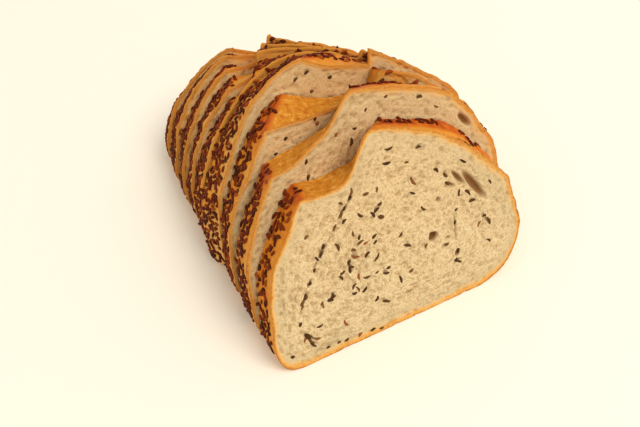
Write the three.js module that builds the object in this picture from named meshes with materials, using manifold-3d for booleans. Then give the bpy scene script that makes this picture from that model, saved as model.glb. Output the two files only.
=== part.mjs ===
// A part of a caraway rye hearth loaf, cut into nine slices that stand fanned out and still keep
// the loaf's shape. Millimetres, +Z up. The cut face of the front slice looks towards -Y, the
// slices lean back towards +Y one behind the other, and the last one is the loaf's rounded heel.
import * as THREE from "three";
import Module from "manifold-3d";
import { mergeVertices } from "three/addons/utils/BufferGeometryUtils.js";

// The slices and how they stand. The lists have one value for each slice, front to back: soft
// slices settle and lean a little differently, and some rose higher than their neighbours.
const SLICES = 9;
const SLICE_THICK = 15.4;
const SLICE_GAP = 0.35;
const LEAN_DEGREES = [23.3, 23.3, 20.8, 20.1, 21, 21, 21, 21.2, 21.4];
const SIDE_SHIFTS = [0.3, -0.6, -0.2, 1.3, -0.7, 0.2, -0.4, -0.2, 0.3];
const HEIGHT_SHARES = [0.955, 1.02, 1, 1.03, 0.99, 0.98, 0.96, 0.96, 0.935];
const SIDE_STEP = -1.23;
const LEANING_HEIGHT = 92;

// The cross-section of the whole loaf, looking at the front slice. Two slices, counted from 0 at
// the front, differ: one swells to the left towards its back and so hides the next one's crumb
// there, and one has a fuller right shoulder, given for its front and its back face.
const LEFT_HALF = 58.7;
const RIGHT_HALF = 75.1;
const RIGHT_SWELL = 17.4;
const CREST_HEIGHT = 106;
const LEFT_BELLY = 20;
const RIGHT_BELLY = 32.3;
const LEFT_CORNER = 9.5;
const RIGHT_CORNER = 30;
const DOME_POWER = 1.69;
const RIGHT_FULLNESS = 0.2;
const REAR_FLATNESS = 0.2;
const CORNER_POWER = 2.2;
const TAPER_LENGTH = 221;
const TAPER_POWER = 1.69;
const LEFT_TAPER_LENGTH = 276;
const SWOLLEN_SLICE = 3;
const LEFT_BULGE = 4.4;
const FULL_SLICE = 1;
const FULL_SHOULDER = [0.32, 0.08];
const HEEL_BULGE = 11;
const LUMP = 0.7;

// The two slashes. lobe is the low lip, foot the deepest line and lip the top of the torn wall
// above it, all given across the loaf. The first runs slantwise to the right and fades; it has a
// value for the front and the back face of each slice that it crosses. The second drifts steadily.
const FIRST_SLASH = {
  lobe: [[-32, -30], [-36, -34], [-28, -13], [-2, 24]],
  foot: [[-13, -3], [-10, -1], [20, 28], [31, 39]],
  lip: [[2, 15], [6, 13], [33, 33], [33, 41]],
  depth: [[14, 18], [12, 14], [10, 11], [6, 2]],
};
const SECOND_SLASH = { lobe: -32.5, lobeDrift: 0.45, foot: -18.6, footDrift: 0.63, wall: 2.5, depth: 6 };
const SLASH_CHANGE = 4 * SLICE_THICK;
const EAR = 2.6;
const EAR_REACH = 7;

// Caraway seeds baked onto the crust
const SEED_LENGTH = 4.6;
const SEED_WIDTH = 1.5;
const SEED_HEIGHT = 1.3;
const SEEDS_PER_SLICE = 24;
const SEED_EDGE_MARGIN = 3;
const SEED_SPACING = 5;
const SEED_START = 20262;
const SHORTEST_EDGE = 0.03;

const RINGS_PER_SLICE = 4;
const LOAF_LENGTH = SLICES * SLICE_THICK;

const clamp01 = (v) => Math.min(1, Math.max(0, v));
const smooth = (a, b, v) => {
  const t = clamp01((v - a) / (b - a));
  return t * t * (3 - 2 * t);
};

// Small seeded random numbers between 0 and 1
function randomFrom(start) {
  let state = start >>> 0;
  return () => {
    state = (state + 0x6d2b79f5) >>> 0;
    let t = Math.imul(state ^ (state >>> 15), 1 | state);
    t = (t + Math.imul(t ^ (t >>> 7), 61 | t)) ^ t;
    return ((t ^ (t >>> 14)) >>> 0) / 4294967296;
  };
}

// The loaf's cross-section at the distance s behind the front face: its two half widths, its
// crest height, and the bellies, which are the heights of its widest points.
function sectionAt(s) {
  const fall = 1 - Math.pow(s / TAPER_LENGTH, TAPER_POWER);
  const full = RIGHT_FULLNESS * smooth(8, 22, s) * (1 - smooth(34, 48, s));
  return {
    left: LEFT_HALF * (1 - Math.pow(s / LEFT_TAPER_LENGTH, 3)),
    right: RIGHT_HALF + RIGHT_SWELL * Math.sin((Math.PI * s) / LOAF_LENGTH),
    crest: CREST_HEIGHT * fall,
    leftBelly: LEFT_BELLY * (0.35 + 0.65 * fall),
    rightBelly: RIGHT_BELLY * (0.35 + 0.65 * fall),
    rightPower: DOME_POWER + full - REAR_FLATNESS * smooth(50, 90, s),
  };
}

// Height of the unslashed dome above x, from a superellipse quarter on each side of the crest
function domeHeight(section, x) {
  const half = x < 0 ? section.left : section.right;
  const belly = x < 0 ? section.leftBelly : section.rightBelly;
  const power = x < 0 ? DOME_POWER : section.rightPower;
  const u = clamp01(Math.abs(x) / half);
  return belly + (section.crest - belly) * Math.pow(1 - Math.pow(u, power), 1 / power);
}

// Both slashes at the depth t into a slice. They run slantwise over the crest, the second taking
// over where the first closes; open goes from 0 where there is no slash to 1 where it is full.
function slashesAt(index, t) {
  const s = index * SLICE_THICK + t;
  const crossed = FIRST_SLASH.lobe.length;
  const station = (pairs) => {
    const [front, back] = pairs[Math.min(index, crossed - 1)];
    return index < crossed ? THREE.MathUtils.lerp(front, back, t / SLICE_THICK) : back;
  };
  const first = {
    lobe: station(FIRST_SLASH.lobe),
    foot: station(FIRST_SLASH.foot),
    lip: station(FIRST_SLASH.lip),
    depth: station(FIRST_SLASH.depth),
    ear: EAR * smooth(35, 50, s),
    open: 1 - smooth(SLASH_CHANGE, SLASH_CHANGE + 10, s),
  };
  const along = Math.max(0, s - SLASH_CHANGE);
  const foot = SECOND_SLASH.foot + SECOND_SLASH.footDrift * along;
  const second = {
    lobe: SECOND_SLASH.lobe + SECOND_SLASH.lobeDrift * along,
    foot,
    lip: foot + SECOND_SLASH.wall,
    depth: SECOND_SLASH.depth,
    ear: EAR,
    open: smooth(SLASH_CHANGE, SLASH_CHANGE + 8, s),
  };
  return { first, second };
}

// Height of the slashed dome above x
function crustHeight(section, slashes, x) {
  const dome = domeHeight(section, x);
  let height = dome;
  for (const slash of [slashes.first, slashes.second]) {
    const low = domeHeight(section, slash.lobe);
    const deep = domeHeight(section, slash.foot) - slash.depth;
    const top = domeHeight(section, slash.lip) + slash.ear;
    let shaped = dome;
    if (x > slash.lobe && x <= slash.foot) {
      const u = (x - slash.lobe) / (slash.foot - slash.lobe);
      shaped = low + (deep - low) * u - Math.sin(Math.PI * u);
    } else if (x > slash.foot && x <= slash.lip) {
      const rise = (x - slash.foot) / (slash.lip - slash.foot);
      shaped = deep + (top - deep) * (0.5 * rise + 0.5 * smooth(0, 1, rise));
    } else if (x > slash.lip) {
      shaped = dome + slash.ear * Math.exp((slash.lip - x) / EAR_REACH);
    }
    height += (shaped - dome) * slash.open;
  }
  return height;
}

// The closed outline at the depth t into a slice, anticlockwise from the middle of the base. The
// same place in the list is the same line along the loaf, so the slashes stay sharp from ring to
// ring.
function outlineAt(index, t, baseHeight) {
  const s = index * SLICE_THICK + t;
  const section = sectionAt(s);
  if (index === SWOLLEN_SLICE) section.left += LEFT_BULGE * smooth(0, SLICE_THICK, t);
  if (index === FULL_SLICE) section.rightPower += THREE.MathUtils.lerp(...FULL_SHOULDER, t / SLICE_THICK);
  const slashes = slashesAt(index, t);
  const points = [];
  const put = (x, z) => {
    points.push(new THREE.Vector2(x, Math.max(z * HEIGHT_SHARES[index], baseHeight)));
  };

  const corner = (side, half, radius, belly, from, to, steps) => {
    for (let k = 0; k < steps; k++) {
      const a = from + ((to - from) * k) / steps;
      const c = Math.pow(Math.abs(Math.cos(a)), 2 / CORNER_POWER);
      const h = Math.pow(Math.abs(Math.sin(a)), 2 / CORNER_POWER);
      put(side * (half - radius + radius * c), belly - belly * h);
    }
  };
  put(0, 0);
  put((section.right - RIGHT_CORNER) / 2, 0);
  corner(1, section.right, RIGHT_CORNER, section.rightBelly, Math.PI / 2, 0, 7);

  const { first, second } = slashes;
  const stops = [
    [section.right, 0],
    [section.right * 0.93, 3],
    [first.lip + 0.45 * (section.right - first.lip), 4],
    [first.lip, 5],
    [first.foot, 4],
    [first.lobe, 6],
    [Math.min(second.lip, first.lobe - 2), 3],
    [Math.min(second.foot, first.lobe - 4), 2],
    [Math.min(second.lobe, first.lobe - 6), 4],
    [-section.left * 0.78, 4],
    [-section.left * 0.96, 4],
    [-section.left, 3],
  ];
  for (let k = 1; k < stops.length; k++) {
    const [x0] = stops[k - 1];
    const [x1, steps] = stops[k];
    for (let j = 0; j < steps; j++) {
      const x = x0 + ((x1 - x0) * j) / steps;
      put(x, crustHeight(section, slashes, x));
    }
  }
  corner(-1, section.left, LEFT_CORNER, section.leftBelly, 0, Math.PI / 2, 5);
  put(-section.left + LEFT_CORNER, 0);
  put((-section.left + LEFT_CORNER) / 2, 0);

  return points.map((p) => {
    const swell = LUMP * (Math.sin(s * 0.11 + p.x * 0.13) + Math.sin(p.x * 0.07 - p.y * 0.16));
    const share = smooth(12, 30, p.y);
    return new THREE.Vector2(p.x * (1 + (share * swell) / 70), p.y + share * swell * 0.6);
  });
}

// The slice's own axes: x across, y along the thickness, z up its cut face. Leaning the slice
// back lowers its rear edge, so the base rises along the thickness to stay on the table.
function leanOf(index) {
  return THREE.MathUtils.degToRad(LEAN_DEGREES[index]);
}

// Rings of the slice's crust from its front face to its back, each a list of 3-D points
function ringsOf(index) {
  const slope = Math.tan(leanOf(index));
  const rings = [];
  const addRing = (t, shrink) => {
    const depth = Math.min(t, SLICE_THICK);
    const base = t * slope;
    const outline = outlineAt(index, depth, base);
    const middle = sectionAt(index * SLICE_THICK + depth).crest * 0.4;
    rings.push(
      outline.map((p) => {
        const z = Math.max(base, middle + (p.y - middle) * shrink);
        return new THREE.Vector3(p.x * shrink, t, z);
      }),
    );
  };
  for (let k = 0; k < RINGS_PER_SLICE; k++) {
    addRing((SLICE_THICK * k) / (RINGS_PER_SLICE - 1), 1);
  }
  if (index === SLICES - 1) {
    for (const a of [30, 55, 75]) {
      const turn = THREE.MathUtils.degToRad(a);
      addRing(SLICE_THICK + HEEL_BULGE * Math.sin(turn), 0.25 + 0.75 * Math.cos(turn));
    }
  }
  return rings;
}

// A closed body from rings of equal length, with a fan of triangles over each end
function loft(rings) {
  const count = rings[0].length;
  const positions = [];
  const index = [];
  for (const ring of rings) {
    for (const p of ring) positions.push(p.x, p.y, p.z);
  }
  const hub = (ring) => {
    const box = new THREE.Box3().setFromPoints(ring);
    const c = box.getCenter(new THREE.Vector3());
    positions.push(c.x, c.y, c.z);
    return positions.length / 3 - 1;
  };
  const frontHub = hub(rings[0]);
  const backHub = hub(rings[rings.length - 1]);
  const last = (rings.length - 1) * count;
  for (let i = 0; i < count; i++) {
    const j = (i + 1) % count;
    index.push(frontHub, i, j);
    index.push(backHub, last + j, last + i);
    for (let r = 0; r < rings.length - 1; r++) {
      const a = r * count;
      const b = a + count;
      index.push(a + i, b + i, a + j);
      index.push(a + j, b + i, b + j);
    }
  }
  const geometry = new THREE.BufferGeometry();
  geometry.setAttribute("position", new THREE.Float32BufferAttribute(positions, 3));
  geometry.setIndex(index);
  return geometry;
}

const wasm = await Module();
wasm.setup();

function toSolid(geometry) {
  const bare = geometry.clone();
  bare.deleteAttribute("normal");
  bare.deleteAttribute("uv");
  const merged = mergeVertices(bare, 1e-4);
  return new wasm.Manifold(
    new wasm.Mesh({
      numProp: 3,
      vertProperties: merged.attributes.position.array,
      triVerts: new Uint32Array(merged.index.array),
    }),
  );
}

function toGeometry(solid) {
  const mesh = solid.getMesh();
  const geometry = new THREE.BufferGeometry();
  geometry.setAttribute("position", new THREE.BufferAttribute(mesh.vertProperties, 3));
  geometry.setIndex(new THREE.BufferAttribute(mesh.triVerts, 1));
  geometry.computeVertexNormals();
  return geometry;
}

// A seed lying on the crust at the fraction u round the seeded stretch and the depth t into the
// slice: its middle, the crust's outward direction and the direction round the outline.
function crustSpot(index, u, t) {
  const base = t * Math.tan(leanOf(index));
  const outline = outlineAt(index, t, base);
  const length = (a, b) => a.distanceTo(b);
  let total = 0;
  for (let k = 1; k < outline.length; k++) total += length(outline[k - 1], outline[k]);
  let left = u * total;
  let k = 1;
  while (left > length(outline[k - 1], outline[k])) {
    left -= length(outline[k - 1], outline[k]);
    k++;
  }
  const along = outline[k].clone().sub(outline[k - 1]).normalize();
  const spot = outline[k - 1].clone().addScaledVector(along, left);
  return {
    place: new THREE.Vector3(spot.x, t, spot.y),
    round: new THREE.Vector3(along.x, 0, along.y),
    out: new THREE.Vector3(along.y, 0, -along.x),
  };
}

// Seeds stick to the domed crust, not to the base, the torn grooves or the smooth lips
function holdsSeed(index, spot, t) {
  const { first, second } = slashesAt(index, t);
  const bare = [first, second].some(
    (slash) =>
      slash.open > 0.3 && spot.place.x > slash.lobe - 1 && spot.place.x < slash.lip + EAR_REACH,
  );
  const low = spot.place.z < t * Math.tan(leanOf(index)) + 4;
  return !low && !(bare && spot.place.z > RIGHT_BELLY);
}

function seedSolids(index) {
  const random = randomFrom(SEED_START + index);
  const seeds = [];
  const places = [];
  const tries = SEEDS_PER_SLICE * 3;
  for (let k = 0; k < tries && seeds.length < SEEDS_PER_SLICE; k++) {
    const u = (((k * 7) % tries) + 0.3 * random()) / tries;
    const t = THREE.MathUtils.lerp(SEED_EDGE_MARGIN, SLICE_THICK - SEED_EDGE_MARGIN, random());
    const turn = random() * Math.PI;
    const spot = crustSpot(index, u, t);
    const crowded = places.some((place) => place.distanceTo(spot.place) < SEED_SPACING);
    if (crowded || !holdsSeed(index, spot, t)) continue;
    const thickness = new THREE.Vector3(0, 1, 0);
    const long = spot.round.clone().multiplyScalar(Math.cos(turn));
    long.addScaledVector(thickness, Math.sin(turn));
    const side = new THREE.Vector3().crossVectors(spot.out, long);
    const seed = new THREE.SphereGeometry(0.5, 5, 3);
    seed.scale(SEED_WIDTH, SEED_LENGTH, SEED_HEIGHT);
    seed.applyMatrix4(new THREE.Matrix4().makeBasis(side.negate(), long, spot.out));
    seed.translate(spot.place.x, spot.place.y, spot.place.z);
    seeds.push(toSolid(seed));
    places.push(spot.place);
  }
  return seeds;
}

// One slice: bread with its seeds fused on. Of the pieces that the joining leaves, only the slice
// itself is kept, so a hollow closed in between two seeds is filled, and edges too short to see
// where a seed meets the crust are closed up.
function sliceGeometry(index) {
  const bread = toSolid(loft(ringsOf(index)));
  const joined = seedSolids(index).reduce((sum, seed) => sum.add(seed), bread);
  const pieces = joined.simplify(SHORTEST_EDGE).decompose();
  const [slice] = pieces.sort((a, b) => b.volume() - a.volume());
  return toGeometry(slice);
}

const bread = new THREE.MeshStandardMaterial({ color: 0xdcc08c, roughness: 0.85, metalness: 0 });
const heelCrust = new THREE.MeshStandardMaterial({ color: 0xb87a38, roughness: 0.7, metalness: 0 });

const loaf = new THREE.Group();
let baseY = 0;
for (let index = 0; index < SLICES; index++) {
  const isHeel = index === SLICES - 1;
  const slice = new THREE.Mesh(sliceGeometry(index), isHeel ? heelCrust : bread);
  slice.name = isHeel ? "heel_slice" : `slice_${index + 1}`;
  slice.position.set(SIDE_STEP * index + SIDE_SHIFTS[index], baseY, 0);
  slice.rotation.x = -leanOf(index);
  loaf.add(slice);
  if (isHeel) break;
  // A slice that leans further back than the next one touches it at the top, not at the table
  const reach = LEANING_HEIGHT * (Math.tan(leanOf(index)) - Math.tan(leanOf(index + 1)));
  baseY += SLICE_THICK / Math.cos(leanOf(index)) + SLICE_GAP + Math.max(0, reach);
}

// The origin is under the middle of the loaf, on the table
loaf.updateMatrixWorld(true);
const bounds = new THREE.Box3().setFromObject(loaf, true);
const centre = bounds.getCenter(new THREE.Vector3());
for (const slice of loaf.children) slice.position.sub(new THREE.Vector3(centre.x, centre.y, 0));

export default loaf;
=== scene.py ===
# %% [markdown]
# # A sliced caraway rye loaf
# The real thing is the front part of a hearth loaf, baked on a stone floor and cut by machine into
# slices about 15 mm thick, which stand fanned out and lean back on each other. Each shows a strip of
# crust thick with caraway seeds and a sliver of pale crumb, and the front one its whole cut face.
# Every shape is worked out with numpy from the loaf's own measures in millimetres, and turned to
# metres when it becomes a mesh.

# %% Load the fixed frame
import math

import bpy
import numpy as np
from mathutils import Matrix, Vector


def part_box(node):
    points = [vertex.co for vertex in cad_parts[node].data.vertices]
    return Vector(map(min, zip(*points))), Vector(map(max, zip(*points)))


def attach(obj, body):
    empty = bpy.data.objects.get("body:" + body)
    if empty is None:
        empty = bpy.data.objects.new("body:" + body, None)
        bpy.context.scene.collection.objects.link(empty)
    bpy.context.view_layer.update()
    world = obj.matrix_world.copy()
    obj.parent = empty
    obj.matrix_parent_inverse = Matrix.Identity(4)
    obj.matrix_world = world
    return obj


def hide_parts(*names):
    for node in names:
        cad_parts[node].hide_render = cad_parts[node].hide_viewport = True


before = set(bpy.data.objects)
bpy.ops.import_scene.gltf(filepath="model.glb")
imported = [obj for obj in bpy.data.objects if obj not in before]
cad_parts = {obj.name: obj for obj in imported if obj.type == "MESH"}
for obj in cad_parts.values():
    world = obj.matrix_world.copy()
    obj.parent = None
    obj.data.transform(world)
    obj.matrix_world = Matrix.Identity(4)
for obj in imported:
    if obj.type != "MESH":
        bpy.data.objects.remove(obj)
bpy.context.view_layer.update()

MM = 0.001

# %% [markdown]
# ## The loaf's cross-section
# A hearth loaf spreads on the oven floor: its base is flat, its sides bulge low down and its top is
# a dome. One could sculpt that, but with a formula the crust, the crumb and the seeds all agree.
# Each side of the dome is a quarter of a superellipse, an ellipse with its power changed from 2. The
# baker's two slashes opened in the oven: each left a low lip (the lobe), a smooth groove that falls
# to its foot, a torn wall, and above it a raised edge called the ear.

# %% Measures of the loaf
SLICES = 9
SLICE_THICK = 15.4
SLICE_GAP = 0.35
LEAN_DEGREES = [23.3, 23.3, 20.8, 20.1, 21, 21, 21, 21.2, 21.4]
SIDE_SHIFTS = [0.3, -0.6, -0.2, 1.3, -0.7, 0.2, -0.4, -0.2, 0.3]
HEIGHT_SHARES = [0.955, 1.02, 1, 1.03, 0.99, 0.98, 0.96, 0.96, 0.935]
SIDE_STEP = -1.23
LEANING_HEIGHT = 92
CENTRE_LINE = -13.127

LEFT_HALF = 58.7
RIGHT_HALF = 75.1
RIGHT_SWELL = 17.4
CREST_HEIGHT = 106
LEFT_BELLY = 20
RIGHT_BELLY = 32.3
LEFT_CORNER = 9.5
RIGHT_CORNER = 30
DOME_POWER = 1.69
RIGHT_FULLNESS = 0.2
REAR_FLATNESS = 0.2
CORNER_POWER = 2.2
TAPER_LENGTH = 221
TAPER_POWER = 1.69
LEFT_TAPER_LENGTH = 276
SWOLLEN_SLICE = 3
LEFT_BULGE = 4.4
FULL_SLICE = 1
FULL_SHOULDER = (0.32, 0.08)
HEEL_BULGE = 11
LUMP = 0.7
LOAF_LENGTH = SLICES * SLICE_THICK
BELLY_KEPT = 0.35
SHOULDER_RISE = (8, 22)
SHOULDER_FALL = (34, 48)
FLATTENED = (50, 90)

FIRST_SLASH = dict(
    lobe=[(-32, -30), (-36, -34), (-28, -13), (-2, 24)],
    foot=[(-13, -3), (-10, -1), (20, 28), (31, 39)],
    lip=[(2, 15), (6, 13), (33, 33), (33, 41)],
    depth=[(14, 18), (12, 14), (10, 11), (6, 2)],
)
SECOND_SLASH = dict(lobe=-32.5, lobe_drift=0.45, foot=-18.6, foot_drift=0.63, wall=2.5, depth=6)
SLASH_CHANGE = 4 * SLICE_THICK
EAR = 2.6
EAR_REACH = 7
EAR_RISE = (35, 50)
GROOVE_SAG = 1.0
FIRST_FADE = 10
SECOND_FADE = 8

NODES = [f"slice_{i + 1}" for i in range(SLICES - 1)] + ["heel_slice"]


# %% Section, dome and slashes as functions of the distance along the loaf
def smooth(a, b, v):
    """0 below a, 1 above b, and an S-shaped rise between them."""
    t = np.clip((v - a) / (b - a), 0, 1)
    return t * t * (3 - 2 * t)


def section(s):
    """Half widths, crest height and bellies at the distance s behind the front cut face. The crest
    falls by the share (s / taper length) to a power, and the right side swells in a half sine."""
    fall = 1 - (s / TAPER_LENGTH) ** TAPER_POWER
    belly = BELLY_KEPT + (1 - BELLY_KEPT) * fall
    full = RIGHT_FULLNESS * smooth(*SHOULDER_RISE, s) * (1 - smooth(*SHOULDER_FALL, s))
    return dict(
        left=LEFT_HALF * (1 - (s / LEFT_TAPER_LENGTH) ** 3),
        right=RIGHT_HALF + RIGHT_SWELL * np.sin(np.pi * s / LOAF_LENGTH),
        crest=CREST_HEIGHT * fall,
        left_belly=LEFT_BELLY * belly,
        right_belly=RIGHT_BELLY * belly,
        right_power=DOME_POWER + full - REAR_FLATNESS * smooth(*FLATTENED, s),
    )


def dome(sec, x):
    """Height above x of the unslashed dome: belly + (crest - belly) (1 - |x / half|^n)^(1/n)."""
    half = np.where(x < 0, sec["left"], sec["right"])
    belly = np.where(x < 0, sec["left_belly"], sec["right_belly"])
    power = np.where(x < 0, DOME_POWER, sec["right_power"])
    u = np.clip(np.abs(x) / half, 0, 1)
    return belly + (sec["crest"] - belly) * (1 - u**power) ** (1 / power)


def slashes(i, t):
    """The two slashes at the depth t into slice i: where their lobe, foot and lip lie across the
    loaf, and how deep, high and open they are. The first has a value for the front and the back
    face of each slice that it crosses, and closes where the second opens."""
    s = i * SLICE_THICK + t
    crossed = len(FIRST_SLASH["lobe"])
    share = np.clip(t / SLICE_THICK, 0, 1) if i < crossed else 1 + 0 * t
    ends = {key: pairs[min(i, crossed - 1)] for key, pairs in FIRST_SLASH.items()}
    first = {key: front + (behind - front) * share for key, (front, behind) in ends.items()}
    first["ear"] = EAR * smooth(*EAR_RISE, s)
    first["open"] = 1 - smooth(SLASH_CHANGE, SLASH_CHANGE + FIRST_FADE, s)
    along = np.maximum(0, s - SLASH_CHANGE)
    second = dict(
        lobe=SECOND_SLASH["lobe"] + SECOND_SLASH["lobe_drift"] * along,
        foot=SECOND_SLASH["foot"] + SECOND_SLASH["foot_drift"] * along,
        depth=SECOND_SLASH["depth"] + 0 * s,
        ear=EAR + 0 * s,
        open=smooth(SLASH_CHANGE, SLASH_CHANGE + SECOND_FADE, s),
    )
    second["lip"] = second["foot"] + SECOND_SLASH["wall"]
    return first, second


def crust_height(sec, cuts, x):
    """Height above x of the dome with its slashes: from the lobe down to the foot in a shallow sag,
    up the torn wall to the ear, and back to the dome as an exponential tail."""
    base = dome(sec, x)
    height = base.copy()
    for cut in cuts:
        low = dome(sec, cut["lobe"])
        deep = dome(sec, cut["foot"]) - cut["depth"]
        top = dome(sec, cut["lip"]) + cut["ear"]
        u = np.clip((x - cut["lobe"]) / (cut["foot"] - cut["lobe"]), 0, 1)
        rise = np.clip((x - cut["foot"]) / (cut["lip"] - cut["foot"]), 0, 1)
        groove = low + (deep - low) * u - GROOVE_SAG * np.sin(np.pi * u)
        wall = deep + (top - deep) * (0.5 * rise + 0.5 * smooth(0, 1, rise))
        tail = base + cut["ear"] * np.exp(-np.maximum(x - cut["lip"], 0) / EAR_REACH)
        places = [x <= cut["lobe"], x <= cut["foot"], x <= cut["lip"]]
        height += (np.select(places, [base, groove, wall], tail) - base) * cut["open"]
    return height


print("section at the front face:", {k: round(float(v), 1) for k, v in section(np.float64(0)).items()})

# %% [markdown]
# ## Random relief
# Crust and crumb need unevenness that is the same on every run. The helper below is value noise: a
# cube of seeded random numbers is laid out in space, and every point blends its eight nearest ones.

# %% Value noise for whole arrays of points
NOISE_CELLS = 32


def noise(points, size, seed):
    """Smooth random numbers from -1 to 1 that change over about size. The weights of the eight
    corners are products of smoothstep shares."""
    lattice = np.random.default_rng(seed).uniform(-1, 1, (NOISE_CELLS,) * 3)
    place = points / size
    cell = np.floor(place).astype(int)
    part = smooth(0, 1, place - cell)
    total = 0
    for corner in np.ndindex(2, 2, 2):
        weight = np.prod(np.where(corner, part, 1 - part), axis=-1)
        index = (cell + corner) % NOISE_CELLS
        total = total + weight * lattice[index[..., 0], index[..., 1], index[..., 2]]
    return total


def noises(points, parts):
    """A sum of noises, each given as (share, size, seed)."""
    return sum(share * noise(points, size, seed) for share, size, seed in parts)


# %% [markdown]
# ## One closed outline
# An outline starts in the middle of the base and runs anticlockwise, round the right corner, over
# the dome and its slashes, and round the left corner. The same place in the row of points is always
# the same feature, so the slashes stay sharp when outlines are joined into a surface.

# %% Points of the outline
BASE_WAVES = [(0.21, 0.13, 0, 1), (0.47, -0.3, 1, 1), (1.1, 0.7, 0, 0.6)]
BASE_WAVE = 0.42
BASE_WAVE_REACH = 7
SLOW_WAVES = [(0.13, 0.11, 0), (0.07, 0, -0.16)]
FINE_LUMP = 0.9
FINE_LUMPS = [(1, 10, 41), (0.5, 4.5, 42)]
LUMPS_START = (12, 30)
LUMP_SPAN = 70
LUMP_LIFTS = 0.6
OUTLINE_STEPS = dict(
    base_right=44, corner_right=40, flank_right=84, shoulder=44, wall=22, groove=40, ridge=12,
    second_wall=10, second_groove=20, flank_left=90, corner_left=26, base_left=40,
)
OVER_THE_TOP = list(OUTLINE_STEPS)[2:10]
EASES = {"flank_right": lambda f: f * f, "flank_left": lambda f: 1 - (1 - f) ** 2}
LEAST_GAPS = dict(lip=2, foot=4, lobe=6)
SHOULDER_SHARE = 0.45
POINTS = sum(OUTLINE_STEPS.values())


def stretch(start, end, name):
    """Points from start up to, not including, end. An easing crowds the flanks' points low down."""
    steps = OUTLINE_STEPS[name]
    share = np.arange(steps) / steps
    return start + (end - start) * EASES.get(name, lambda f: f)(share)


def outline(i, t, base):
    """x and z of slice i's outline, one row of points for each depth in t. base is the lowest
    height that a row may have. Dough never settles flat: three sines lift parts of the base by up to
    about a millimetre, and slow sines and fine noise swell the sides and the top by a little more."""
    t = np.atleast_1d(np.asarray(t, float))[:, None]
    base = np.asarray(base, float).reshape(-1, 1)
    s = i * SLICE_THICK + t
    sec = section(s)
    if i == SWOLLEN_SLICE:
        sec["left"] += LEFT_BULGE * smooth(0, SLICE_THICK, t)
    if i == FULL_SLICE:
        share = np.clip(t / SLICE_THICK, 0, 1)
        sec["right_power"] += FULL_SHOULDER[0] * (1 - share)
        sec["right_power"] += FULL_SHOULDER[1] * share
    first, second = slashes(i, t)

    def corner(side, half, radius, belly, name, start, end):
        a = stretch(start, end, name)
        x = side * (half - radius + radius * np.abs(np.cos(a)) ** (2 / CORNER_POWER))
        return x, belly - belly * np.abs(np.sin(a)) ** (2 / CORNER_POWER)

    middle = first["lip"] + SHOULDER_SHARE * (sec["right"] - first["lip"])
    second_ends = [np.minimum(second[key], first["lobe"] - gap) for key, gap in LEAST_GAPS.items()]
    ends = [sec["right"], middle, first["lip"], first["foot"], first["lobe"], *second_ends, -sec["left"]]
    over = np.hstack([stretch(a, b, name) for a, b, name in zip(ends, ends[1:], OVER_THE_TOP)])
    quarter = np.pi / 2
    x_right, z_right = corner(1, sec["right"], RIGHT_CORNER, sec["right_belly"], "corner_right", quarter, 0)
    x_left, z_left = corner(-1, sec["left"], LEFT_CORNER, sec["left_belly"], "corner_left", 0, quarter)
    x_start = stretch(0 * s, sec["right"] - RIGHT_CORNER, "base_right")
    x_end = stretch(-sec["left"] + LEFT_CORNER, 0 * s, "base_left")
    x = np.hstack([x_start, x_right, over, x_left, x_end])
    z = crust_height(sec, (first, second), over)
    z = np.hstack([0 * x_start, z_right, z, z_left, 0 * x_end])
    z = np.maximum(z * HEIGHT_SHARES[i], base)
    wave = sum(share * np.sin(x * a + s * b + c) for a, b, c, share in BASE_WAVES)
    lift = BASE_WAVE * np.maximum(wave, 0)
    z = z + lift * (1 - smooth(0, BASE_WAVE_REACH, z - base))
    place = np.stack(np.broadcast_arrays(x, s, z), axis=-1)
    swell = LUMP * sum(np.sin(s * b + x * a + z * c) for a, b, c in SLOW_WAVES)
    swell = smooth(*LUMPS_START, z) * (swell + FINE_LUMP * noises(place, FINE_LUMPS))
    return x * (1 + swell / LUMP_SPAN), z + swell * LUMP_LIFTS


print("outline points:", POINTS)

# %% [markdown]
# ## Where each slice stands
# Every slice leans back by its own angle and rests on the one behind it. In its own axes a slice
# has x across, t through its thickness and z up its cut face. The function turns those into the
# row's frame: the lean swings z back towards +Y and t down towards the table.

# %% Place of each slice
LEANS = np.radians(LEAN_DEGREES)


def slice_places():
    """x and y of each slice's origin. A slice that leans further back than the next one touches it
    at the top, and otherwise at the table."""
    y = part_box("slice_1")[0].y / MM
    places = []
    for i in range(SLICES):
        places.append((CENTRE_LINE + SIDE_STEP * i + SIDE_SHIFTS[i], y))
        if i < SLICES - 1:
            reach = LEANING_HEIGHT * (math.tan(LEANS[i]) - math.tan(LEANS[i + 1]))
            y += SLICE_THICK / math.cos(LEANS[i]) + SLICE_GAP + max(0, reach)
    return np.array(places)


PLACES = slice_places()


def to_row(i, x, t, z):
    """Slice axes to the row frame: a turn by the lean about X, then the slice's place."""
    x, t, z = np.broadcast_arrays(x, t, z)
    c, d = math.cos(LEANS[i]), math.sin(LEANS[i])
    return np.stack([PLACES[i, 0] + x, PLACES[i, 1] + t * c + z * d, z * c - t * d], axis=-1)


for name, (x, y) in zip(NODES, PLACES):
    box_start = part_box(name)[0].y / MM
    print(name, "stands at", round(x, 1), round(y, 1), "and its box starts at y", round(box_start, 1))

# %% [markdown]
# ## The camera
# The camera comes early, because some seeds and holes of the front cut face are placed by where the
# picture shows them. It was found by fitting the edges of all the slices: it looks down at 51.6
# degrees from 326 mm away through a lens of about 33 mm, so near things look clearly larger.

# %% Camera and the way back from a pixel to a cut face
PICTURE_SIZE = np.array([640, 427])
CAMERA_AIM = np.array([-13.97, -12.04, 0])
CAMERA_AZIMUTH = math.radians(-26.51)
CAMERA_HEIGHT_ANGLE = math.radians(51.56)
CAMERA_DISTANCE = 326.2
FOCAL_PIXELS = 585.8
SENSOR_WIDTH = 36

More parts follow.
